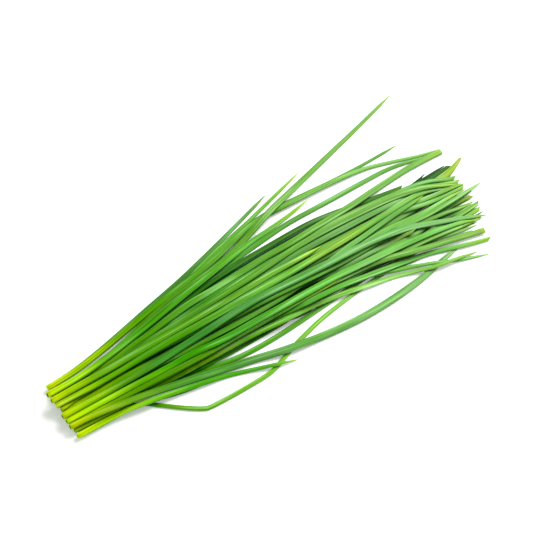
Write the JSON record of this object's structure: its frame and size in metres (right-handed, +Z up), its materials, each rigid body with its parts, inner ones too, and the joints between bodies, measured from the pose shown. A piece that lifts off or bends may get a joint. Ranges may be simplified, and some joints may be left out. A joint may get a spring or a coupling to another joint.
{
  "type": "cut chive bunch",
  "caption": "Loose bunch of long tubular chive leaves, cut straight across at the root end and fanned out towards the tips.",
  "frame": {"origin": "on the table, under the middle of the bunch's bounding box", "axes": "+X from the cut root ends to the tips, +Z up from the table"},
  "size_m": [0.303, 0.137, 0.0137],
  "materials": {
    "deep_green": "waxy leaf skin, semi-matt",
    "mid_green": "waxy leaf skin, semi-matt",
    "bright_green": "waxy leaf skin, semi-matt",
    "blue_green": "waxy leaf skin, semi-matt",
    "yellow_green": "waxy leaf skin, semi-matt"
  },
  "bodies": {
    "root": {"leaf_kinked": "bright_green", "leaf_short_near": "bright_green", "leaf_far_dark_a": "deep_green", "leaf_far_dark_c": "deep_green", "leaf_far_dark_b": "deep_green", "leaf_yellow_wide": "yellow_green", "leaf_far_low_a": "mid_green", "leaf_far_low_b": "deep_green", "leaf_far_low_c": "mid_green", "leaf_far_low_d": "bright_green", "leaf_far_low_e": "blue_green", "leaf_far_low_f": "yellow_green", "leaf_low_edge": "bright_green", "leaf_far_upper_dark": "deep_green", "leaf_slit_dark": "deep_green", "leaf_slit_mid": "deep_green", "leaf_slit_low": "mid_green", "leaf_upper_edge": "blue_green", "leaf_yellow_point": "yellow_green", "leaf_hair_tip": "mid_green", "leaf_straight_mid": "bright_green", "leaf_ridge_dark": "deep_green", "leaf_under_ridge": "deep_green", "leaf_fan_low_a": "mid_green", "leaf_fan_low_b": "deep_green", "leaf_fan_low_c": "mid_green", "leaf_fan_low_d": "bright_green", "leaf_near_down_a": "bright_green", "leaf_fan_mid_a": "mid_green", "leaf_fan_mid_b": "bright_green", "leaf_fan_mid_c": "bright_green", "leaf_fan_mid_d": "mid_green", "leaf_fan_mid_e": "bright_green", "leaf_fan_mid_f": "mid_green", "leaf_fan_mid_g": "deep_green", "leaf_long_arc": "bright_green", "leaf_high_reach": "bright_green", "leaf_under_fan_a": "mid_green", "leaf_under_fan_b": "blue_green", "leaf_twin_right": "blue_green", "leaf_slip_under": "mid_green", "leaf_near_down_b": "yellow_green", "leaf_near_short": "bright_green", "leaf_fan_right_a": "bright_green", "leaf_fan_right_b": "yellow_green", "leaf_near_fork": "bright_green", "leaf_blunt_wide": "yellow_green", "leaf_yellow_stub": "yellow_green", "leaf_rise_to_yellow": "bright_green", "leaf_broad_bow": "blue_green", "leaf_ridge_light": "mid_green", "leaf_ridge_third": "bright_green", "leaf_ridge_second": "bright_green", "leaf_front_yellow": "yellow_green", "leaf_crown_stub": "yellow_green", "leaf_far_needle": "bright_green", "leaf_crown_yellow": "yellow_green", "leaf_crown_right": "bright_green", "leaf_crown_blue": "blue_green"}
  },
  "joints": []
}
